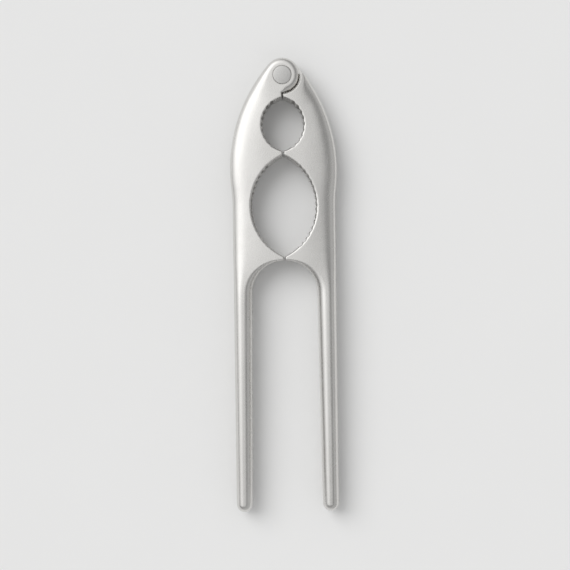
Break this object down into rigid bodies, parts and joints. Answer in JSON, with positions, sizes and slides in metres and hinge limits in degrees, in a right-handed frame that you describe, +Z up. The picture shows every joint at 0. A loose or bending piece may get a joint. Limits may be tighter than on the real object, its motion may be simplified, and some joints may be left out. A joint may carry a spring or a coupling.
{
  "type": "lobster cracker",
  "caption": "Cast metal lobster cracker: arms hinged on a rivet at the tip, with small and large toothed jaws between them and long straight legs to squeeze.",
  "frame": {"origin": "middle of the closed tool's footprint, on the surface that it lies on", "axes": "+Z up through the thickness, +Y along the legs towards the hinge, +X across to the tongue arm"},
  "size_m": [0.0354, 0.15, 0.01],
  "materials": {
    "arms": "satin plated zinc casting",
    "rivet": "turned and peened steel"
  },
  "bodies": {
    "fork_side": {"fork_arm": "arms", "pivot_rivet": "rivet"},
    "tongue_side": {"tongue_arm": "arms"}
  },
  "joints": [
    {"name": "arm_hinge", "type": "hinge", "parent": "fork_side", "child": "tongue_side", "pos_m": [0, 0.0691, 0.005], "axis": [0, 0, 1], "range_deg": [0, 90]}
  ]
}
